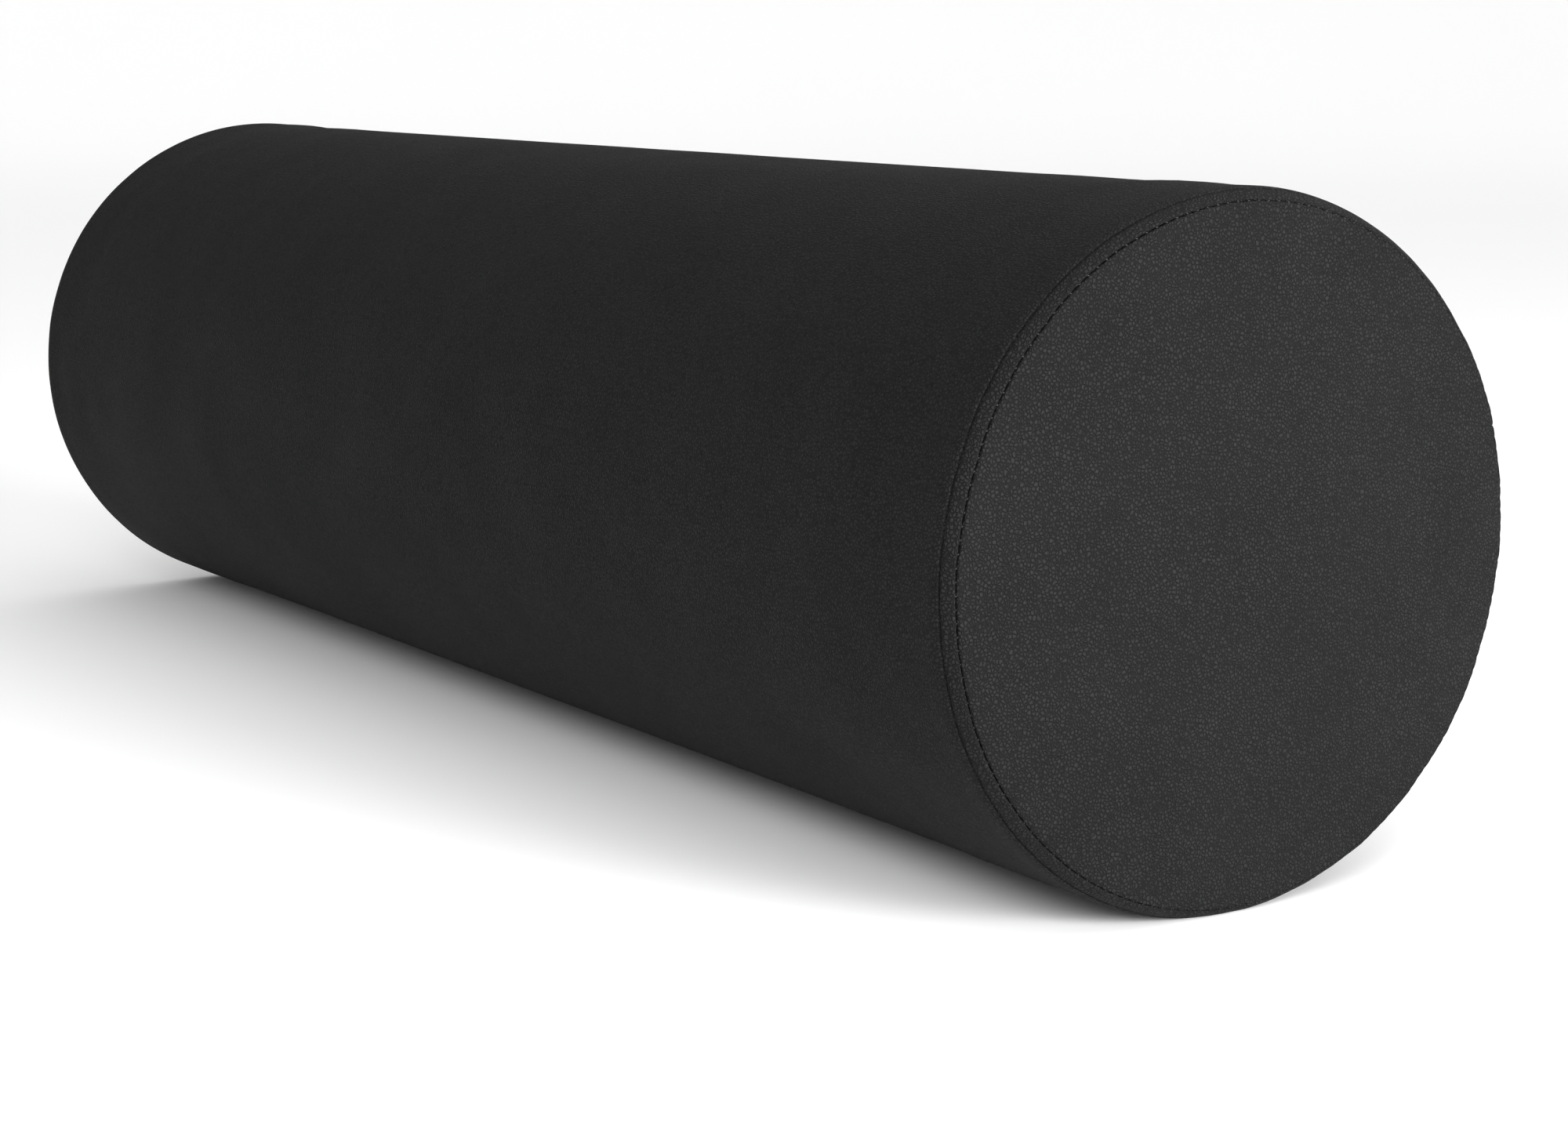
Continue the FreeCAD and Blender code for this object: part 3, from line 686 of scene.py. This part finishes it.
def make_end(side, material):
    """A crowned round end panel, turned into the seam at its rim."""
    name = "front" if side > 0 else "rear"
    large = CROWN_RADIUS
    steps = np.array([0.9, 1.8, 2.8, 4.0, 5.6, 7.6, 10.2, 13.5, 17.5, 22, 27, 32.5, 38.5, 45, 52, 59.5, 67.5, 76, 85])
    arcs = CROWN_END - steps[::-1] / large
    profile, normals, run = panel_profile(CROWN_CENTRE, large, -1, ROLL * 0.85, GAP, arcs, (0.5, 1.2, 2.2, 3.2))
    factors = [6 if distance > -4.5 else 2 if distance > -20 else 1 for distance in run]
    base = STITCHES
    points, rows = [], []
    local = END_LOCAL[0 if side > 0 else 1]
    for (x, r), (nx, nr), along, factor in zip(profile, normals, run, factors):
        count = base * factor
        angle = np.arange(count) * 2 * np.pi / count
        ring = np.clip((SEAM_R - r) / SEAM_R * SIM_RINGS, 0, SIM_RINGS)
        swell = spline_sample(local, ring, angle / (2 * np.pi) * SIM_ROUND)
        edge = abs(min(along, 0))
        wave = end_waves(r, angle)
        pucker = spline_sample(PUCKERS, edge / 4 + 24, angle / (2 * np.pi) * 150)
        relief = 0.5 * swell + 0.18 * wave * smoothstep(0, 12, edge) + 0.12 * pucker * bell(edge - 6, 8)
        relief = relief * (1 if along <= 0 else 0) - stitch_pull(angle, along, 1.0)
        body = in_space(side * (x + nx * relief + wander(angle, along, side)), r + nr * relief, angle)
        rows.append([len(points) + k for k in range(count)])
        points += list(on_floor(body))
    inner = profile[0][1]
    for share in (0.62, 0.28):
        r = inner * share
        x = CROWN_CENTRE[0] + math.sqrt(large ** 2 - r ** 2)
        angle = np.arange(base) * 2 * np.pi / base
        swell = spline_sample(local, np.full(base, (SEAM_R - r) / SEAM_R * SIM_RINGS), angle / (2 * np.pi) * SIM_ROUND)
        wave = end_waves(r, angle)
        relief = 0.5 * swell + 0.18 * wave
        rows.insert(0, [len(points) + k for k in range(base)])
        points += list(in_space(side * (x + relief), np.full(base, r), angle))
    wave = float(end_waves(0.0, np.array(0.0)))
    tip = len(points)
    points.append(in_space(side * (HALF_LENGTH + 0.18 * wave + 0.5 * local[-1, 0]), 0.0, 0.0))
    faces = joined_rows(rows, True)
    faces += [[rows[0][(k + 1) % base], rows[0][k], tip] for k in range(base)]
    if side > 0:
        faces = [f[::-1] for f in faces]
    return make_piece(f"cover_end_{name}", points, faces, "bolster", "cover_leather", material, f"cover_{name}_panel")


leather = leather_material()
tube = make_tube(leather)
front_end = make_end(1, leather)
rear_end = make_end(-1, leather)
for piece in (tube, front_end, rear_end):
    thicken(piece, LEATHER)


# ---- Threads ----

def seam_waist():
    """How far along the mitre line the two rolls of an end seam come closest."""
    middle, _ = seam_roll(TUBE_CENTRE, SHOULDER, 1, ROLL, GAP)
    return (middle - np.array([SEAM_X, SEAM_R])) @ MITRE


def make_seam_stitches(side, material):
    """An end seam's lockstitch. The needle and bobbin threads dip towards each other at each hole, and a short bar
    of thread lies across the seam's valley there."""
    name = "front" if side > 0 else "rear"
    per = 8
    angle = np.arange(STITCHES * per) * 2 * np.pi / (STITCHES * per)
    beat = np.abs(((np.arange(STITCHES * per) / per) % 1) - 0.5) * 2
    paths = []
    for depth, dip in ((1.42, 1.0), (4.30, -1.1)):
        d = depth + dip * beat ** 4
        turn = 1.17
        path = in_space(side * (SHOULDER_X + (SHOULDER - d) * math.cos(turn)),
                        RADIUS - SHOULDER + (SHOULDER - d) * math.sin(turn), angle)
        path[:, 0] += side * wander(angle, 0.0, side)
        path[:, 2] = np.maximum(path[:, 2], d)
        paths.append(path)
    rings = tubes(paths, 0.18, 6, closed=True, up=(side, 0, 0))
    across = np.array([-MITRE[1], MITRE[0]])
    middle = np.array([SEAM_X, SEAM_R]) + MITRE * (seam_waist() + 0.30)
    bars = []
    for a in (np.arange(STITCHES) + 0.5) * 2 * np.pi / STITCHES:
        lean = 0.35 * 2 * np.pi / STITCHES
        spots = [(middle + across * w + MITRE * (-0.5 * (w / 0.5) ** 2), a + lean * w)
                 for w in (-0.5, -0.25, 0.0, 0.25, 0.5)]
        stray = wander(a, 0.0, side)
        bars.append(on_floor(np.array([in_space(side * (p[0] + stray), p[1], b) for p, b in spots]), 0.25))
    points, faces = merged(rings, tubes(bars, 0.15, 6, up=(0.3, 0.5, 0.81)))
    return make_piece(f"{name}_seam_stitches", points, faces, "bolster", "thread", material, f"{name}_seam_thread")


def stitched_line(x_low, x_high, t, top, bottom):
    """A row of lockstitches along the zip: separate needle stitches over the top and bobbin stitches below."""
    count = round((x_high - x_low) / STITCH_LENGTH)
    step = (x_high - x_low) / count
    share = np.array([0.02, 0.05, 0.13, 0.30, 0.5, 0.70, 0.87, 0.95, 0.98])
    dip = np.array([-1.0, -0.45, -0.08, 0.0, 0.03, 0.0, -0.08, -0.45, -1.0])
    paths = []
    for k in range(count):
        x = x_low + step * (k + share)
        drift = 0.05 * math.sin(k * 1.7)
        paths.append(in_zip(x, t + drift + 0.10 * (share - 0.5), top + dip))
        paths.append(in_zip(x, t + drift, bottom - 0.6 * dip))
    return tubes(paths, 0.2, 6)


def make_topstitch(side, material):
    """The row of stitches that holds one of the tapes under its hem."""
    name = "upper" if side > 0 else "lower"
    t = side * 7.8
    curve = math.sqrt(RADIUS ** 2 - t ** 2) - RADIUS
    half = OPENING / 2 - 1.2
    points, faces = stitched_line(-half, half, t, curve - 0.02, curve - 3.28)
    return make_piece(f"topstitch_{name}", points, faces, "bolster", "thread", material, f"zip_topstitch_{name}")


def make_closing_stitches(material):
    """The seam that closes the long panel beyond each end of the zip: stitches just inside, and bars across it."""
    made = [], []
    for low, high in ((282.0, 311.5), (-311.5, -282.0)):
        made = merged(made, stitched_line(low, high, 0.0, -1.35, -2.0))
        bars = [in_zip(x + np.array([-0.3, -0.1, 0.1, 0.3]), np.array([-0.55, -0.2, 0.2, 0.55]),
                       np.array([-0.65, -0.42, -0.42, -0.65]))
                for x in np.arange(low + STITCH_LENGTH / 2, high, STITCH_LENGTH)]
        made = merged(made, tubes(bars, 0.16, 6))
    return make_piece("closing_stitches", *made, "bolster", "thread", material, "closing_seam_thread")


# ---- Zip ----

def make_tape(side, material):
    """A woven tape, with a round bound edge and a slight wave between the stitches that hold it."""
    name = "upper" if side > 0 else "lower"
    half, middle, depth, edge = 7.4, 8.6, 2.75, 0.24      # half its width, its middle line and how deep it lies
    around = np.linspace(0, 2 * math.pi, 56, endpoint=False)
    flat = np.clip(np.cos(around) * 1.35, -1, 1)
    across = middle + (half - edge) * flat + edge * np.cos(around)
    thick = edge * np.clip(np.sin(around) * 1.9, -1, 1) * (1 + 0.15 * bell(across - 15.2, 0.6))
    stations = np.linspace(-291.0, 291.0, 292)
    points = []
    for x in stations:
        t = side * (across + 0.05 * math.sin(x * 0.31 + side) * bell(across - 15.6, 2.0))
        sag = 0.10 * bell(across - 12.5, 2.2) * (0.5 + 0.5 * math.sin(x * 0.17 + 2 * side))
        points.append(in_zip(x, t, np.sqrt((RADIUS - depth + thick - sag) ** 2 - t ** 2) - RADIUS))
    count = len(around)
    faces = [[i * count + k, i * count + (k + 1) % count, (i + 1) * count + (k + 1) % count, (i + 1) * count + k]
             for i in range(len(stations) - 1) for k in range(count)]
    faces += [list(range(count))[::-1], [(len(stations) - 1) * count + k for k in range(count)]]
    piece = make_piece(f"tape_{name}", np.concatenate(points), faces, "bolster", "zip_tape", material,
                       f"zip_tape_{name}")
    return face_outwards(piece)


def make_coil(side, material):
    """A row of nylon coil wound round its filler cord, with heads that pass between those of the other row."""
    name = "upper" if side > 0 else "lower"
    loops, per = int(COIL_LENGTH / COIL_PITCH), 14
    turn = np.arange(loops * per) * 2 * np.pi / per
    flat_c = np.sign(np.cos(turn)) * np.abs(np.cos(turn)) ** 0.7
    flat_s = np.sign(np.sin(turn)) * np.abs(np.sin(turn)) ** 0.7
    head = np.clip(-np.cos(turn), 0, 1) ** 4
    x = COIL_START + COIL_PITCH * (np.arange(loops * per) / per + (0.0 if side > 0 else 0.5))
    path = in_zip(x, side * (1.39 + 1.40 * flat_c), -1.37 + 0.80 * flat_s)
    cord = in_zip(np.linspace(COIL_START - 0.2, COIL_START + COIL_LENGTH, 60), side * 1.7, -1.37)
    points, faces = merged(tubes([path], 0.27 + 0.045 * head, 6, up=(1, 0, 0)), tubes([cord], 0.44, 8))
    return make_piece(f"coil_{name}", points, faces, "bolster", "zip_coil", material, f"zip_coil_{name}")


def rounded_copy(name, node, body, slot, material, voxel, passes):
    """A CAD solid with its edges softened, as on a die casting or a crimped stop."""
    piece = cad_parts[node].copy()
    piece.data = piece.data.copy()
    piece.name = name
    bpy.context.scene.collection.objects.link(piece)
    piece.parent = None
    piece.matrix_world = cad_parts[node].matrix_world
    piece.modifiers.clear()
    remesh = piece.modifiers.new("skin", "REMESH")
    remesh.mode = "VOXEL"
    remesh.voxel_size = voxel * MM
    soften = piece.modifiers.new("soften", "SMOOTH")
    soften.factor, soften.iterations = 0.5, passes
    made = bpy.data.meshes.new_from_object(piece.evaluated_get(bpy.context.evaluated_depsgraph_get()))
    place = np.array(piece.matrix_world)
    bpy.data.objects.remove(piece)
    points = np.empty(len(made.vertices) * 3)
    made.vertices.foreach_get("co", points)
    points = points.reshape(-1, 3) @ place[:3, :3].T + place[:3, 3]
    faces = [list(f.vertices) for f in made.polygons]
    bpy.data.meshes.remove(made)
    return make_piece(name, points / MM, faces, body, slot, material, node)


# ---- Filling ----

def core_depth(x, angle, spare):
    """How deep the core's space lies under the cover: less in the middle, more under the seams and the zip."""
    near = np.minimum(angle, 2 * np.pi - angle) * RADIUS
    x = np.abs(x)
    by_zip = 1 - smoothstep(OPENING / 2, OPENING / 2 + 1.5, x)
    depth = PLY + SEAM_STACK * smoothstep(313.5, 316.0, x)
    hem = (1 - smoothstep(17.0, 19.0, near)) * (1 - smoothstep(312.5, 314.0, x))
    depth = np.maximum(depth, PLY + HEM_STACK * hem)
    topstitch = (1 - smoothstep(8.4, 9.4, near)) * by_zip
    depth = np.maximum(depth, PLY + (HEM_STACK + 0.4) * topstitch)
    slider_channel = (1 - smoothstep(5.7, 6.7, near)) * by_zip
    return np.maximum(depth, PLY + 3.6 * slider_channel) + spare


def core_columns():
    """Angles round the core, closer together at the zip."""
    return np.concatenate([np.linspace(0, 20.0 / RADIUS, 19)[:-1],
                           np.linspace(20.0 / RADIUS, 2 * np.pi - 20.0 / RADIUS, 121),
                           np.linspace(2 * np.pi - 20.0 / RADIUS, 2 * np.pi, 19)[1:-1]])


def core_rows(spare, wrinkle):
    """The core's round side, as rows of points, from its rear shoulder to its front one."""
    columns = core_columns()
    xs = np.concatenate([np.linspace(0, 276, 40)[:-1], np.linspace(276, 316.5, 24)])
    xs = np.concatenate([-xs[:0:-1], xs])
    rows = []
    for x in xs:
        depth = core_depth(x, columns, spare)
        soft = 1 - smoothstep(1.9, 2.6, depth - spare)
        fold = spline_sample(WAVES, (x + SEAM_X) / 650 * 58 + 0.3, columns / (2 * np.pi) * 72)
        depth = depth + wrinkle * soft * (fold - 1)
        rows.append(on_floor(in_space(x, RADIUS - depth, columns), PLY + spare))
    for turn in (1.3, 1.0, 0.75):
        small = SHOULDER - PLY - SEAM_STACK - spare
        x, r = SHOULDER_X + small * math.cos(turn), RADIUS - SHOULDER + small * math.sin(turn)
        for end in (1, -1):
            row = on_floor(in_space(end * x, r, columns), PLY + SEAM_STACK + spare)
            rows.insert(len(rows) if end > 0 else 0, row)
    return rows


def core_end(side, spare, wrinkle, shares):
    """The core's domed end, as rings of points from its rim to its middle."""
    columns = core_columns()
    rings = []
    for r in shares:
        deep = PLY + SEAM_STACK * smoothstep(91.5, 93.5, r) + spare
        x = CROWN_CENTRE[0] + math.sqrt((CROWN_RADIUS - deep) ** 2 - r ** 2)
        fold = spline_sample(WAVES, 8 + 12 * r / 97 * np.cos(columns) + 20, 20 + 12 * r / 97 * np.sin(columns))
        rings.append(on_floor(in_space(side * (x + wrinkle * (fold - 1) * (r < 91)), r, columns), 1.3 + spare))
    return rings


RIM_RADII = (93.6, 92.9, 92.2, 91.6, 90.8, 88, 82, 74, 65, 55, 45, 35, 25, 16, 8, 3)


def make_foam(material):
    """The foam core, a little smaller than its liner."""
    spare = 0.5
    rows = core_end(-1, spare, 0.0, RIM_RADII)[::-1] + core_rows(spare, 0.12) + core_end(1, spare, 0.0, RIM_RADII)
    points, numbers = [], []
    for row in rows:
        numbers.append([len(points) + k for k in range(len(row))])
        points += list(row)
    faces = [f[::-1] for f in joined_rows(numbers, True)]
    points += [in_space(s * (HALF_LENGTH - PLY - spare), 0.0, 0.0) for s in (-1, 1)]
    count = len(numbers[0])
    for k in range(count):
        faces.append([numbers[0][k], numbers[0][(k + 1) % count], len(points) - 2])
        faces.append([numbers[-1][(k + 1) % count], numbers[-1][k], len(points) - 1])
    piece = face_outwards(make_piece("foam", points, faces, "bolster", "foam", material, "foam_core"))
    return piece


def shell(name, outer, inner, material, *nodes, tips=None):
    """A thin closed skin between two surfaces with the same layout."""
    points, faces = [], []
    ends = []
    for flip, rows in ((False, outer), (True, inner)):
        numbers = []
        for row in rows:
            numbers.append([len(points) + k for k in range(len(row))])
            points += list(row)
        made = joined_rows(numbers, True)
        if tips:
            points.append(tips[1 if flip else 0])
            last = numbers[-1]
            made += [[last[k], last[(k + 1) % len(last)], len(points) - 1] for k in range(len(last))]
        faces += [f[::-1] for f in made] if flip else made
        ends.append(numbers)
    rims = (0,) if tips else (0, -1)
    for rim in rims:
        faces += joined_rows([ends[0][rim], ends[1][rim]], True)
    return face_outwards(make_piece(name, points, faces, "bolster", "liner_cloth", material, *nodes))


def make_liners(material):
    """The non-woven sleeve round the foam, and its two end discs."""
    shell("liner_side", core_rows(0.03, 0.2)[1:-1], core_rows(0.38, 0.2)[1:-1], material, "liner_sleeve")
    for side, name in ((1, "front"), (-1, "rear")):
        tips = [in_space(side * (HALF_LENGTH - PLY - spare), 0.0, 0.0) for spare in (0.03, 0.38)]
        shell(f"liner_end_{name}", core_end(side, 0.03, 0.15, RIM_RADII), core_end(side, 0.38, 0.15, RIM_RADII),
              material, f"liner_{name}_disc", tips=tips)


thread = thread_material()
for end in (1, -1):
    make_seam_stitches(end, thread)
    make_topstitch(end, thread)
make_closing_stitches(thread)
nylon, enamel, crimped = nylon_material(), enamel_material(), stop_material()
make_coil(1, nylon)
make_coil(-1, nylon)
woven = tape_material()
make_tape(1, woven)
make_tape(-1, woven)
rounded_copy("slider", "zip_slider_body", "zip_slider", "zip_metal", enamel, 0.13, 6)
rounded_copy("pull", "zip_pull_tab", "zip_pull", "zip_metal", enamel, 0.12, 6)
rounded_copy("top_stops", "zip_top_stops", "bolster", "zip_stop", crimped, 0.10, 5)
rounded_copy("bottom_stop", "zip_bottom_stop", "bolster", "zip_stop", crimped, 0.10, 5)
make_foam(foam_material())
make_liners(liner_material())


# ---- Camera, floor and light ----

def set_camera():
    data = bpy.data.cameras.new("camera")
    camera = bpy.data.objects.new("camera", data)
    bpy.context.scene.collection.objects.link(camera)
    data.sensor_width = 36.0
    data.lens = 70.24
    data.clip_start, data.clip_end = 0.01, 50.0
    yaw, pitch = math.radians(146.755), math.radians(-10.096)
    forward = Vector((math.cos(pitch) * math.cos(yaw), math.cos(pitch) * math.sin(yaw), math.sin(pitch)))
    camera.location = (0.93578, -0.54917, 0.24034)
    camera.rotation_euler = forward.to_track_quat("-Z", "Y").to_euler()
    bpy.context.scene.camera = camera


def make_floor():
    """A pale sweep: flat under the bolster, curving up a little far away from it."""
    bends = np.linspace(0.2, 1.1, 8)
    radii = [0.5, 1, 2, 3, 4] + [4 + 1.5 * math.sin(a) for a in bends]
    heights = [0] * 5 + [1.5 * (1 - math.cos(a)) for a in bends]
    points, rows, sides = [], [], 96
    for r, h in zip(radii, heights):
        rows.append([len(points) + k for k in range(sides)])
        points += [(r * math.cos(2 * math.pi * k / sides), r * math.sin(2 * math.pi * k / sides), h)
                   for k in range(sides)]
    points.append((0, 0, 0))
    faces = [f[::-1] for f in joined_rows(rows, True)]
    faces += [[rows[0][k], rows[0][(k + 1) % sides], len(points) - 1] for k in range(sides)]
    mesh = bpy.data.meshes.new("floor")
    mesh.from_pydata(points, [], faces)
    mesh.polygons.foreach_set("use_smooth", [True] * len(mesh.polygons))
    floor = bpy.data.objects.new("floor", mesh)
    bpy.context.scene.collection.objects.link(floor)
    material, nodes, links, shader, place = new_material("sweep_paper", (0.94, 0.94, 0.94), 0.9, 0.1)
    links.new(colour_between(nodes, links, noise_node(nodes, links, place, 3.0), (0.935, 0.935, 0.935),
                             (0.945, 0.945, 0.945)), shader.inputs["Base Color"])
    mesh.materials.append(material)


def add_light(name, place, target, size, power):
    data = bpy.data.lights.new(name, "AREA")
    data.shape = "RECTANGLE"
    data.size, data.size_y = size
    data.energy = power
    light = bpy.data.objects.new(name, data)
    bpy.context.scene.collection.objects.link(light)
    light.location = place
    light.rotation_euler = (Vector(target) - Vector(place)).to_track_quat("-Z", "Y").to_euler()


def light_scene():
    """A dim white room with very large soft lights in front and behind, and soft boxes at the near end."""
    world = bpy.data.worlds.new("studio")
    bpy.context.scene.world = world
    bpy.context.scene.view_settings.view_transform = "Standard"
    world.use_nodes = True
    nodes, links = world.node_tree.nodes, world.node_tree.links
    background = nodes["Background"]
    background.inputs["Color"].default_value = (1, 1, 1, 1)
    sky = nodes.new("ShaderNodeTexCoord").outputs["Generated"]
    total = 0.18
    for turn, rise, strength in ((300, 42, 1.0), (95, 66, 1.25)):
        turn, rise = math.radians(turn), math.radians(rise)
        aim = nodes.new("ShaderNodeVectorMath")
        aim.operation = "DOT_PRODUCT"
        aim.inputs[1].default_value = (math.cos(rise) * math.cos(turn), math.cos(rise) * math.sin(turn), math.sin(rise))
        links.new(sky, aim.inputs[0])
        glow = combine(nodes, links, "POWER", combine(nodes, links, "MAXIMUM", aim.outputs["Value"], 0.0), 3.0)
        total = combine(nodes, links, "ADD", combine(nodes, links, "MULTIPLY", glow, strength), total)
    links.new(total, background.inputs["Strength"])
    add_light("end_box", (2.2, 0.6, 0.5), (0.3, 0, 0.1), (1.0, 0.8), 88)
    add_light("side_box", (1.1, -0.8, 0.7), (0.35, 0, 0.1), (0.5, 0.5), 10)


set_camera()
make_floor()
light_scene()
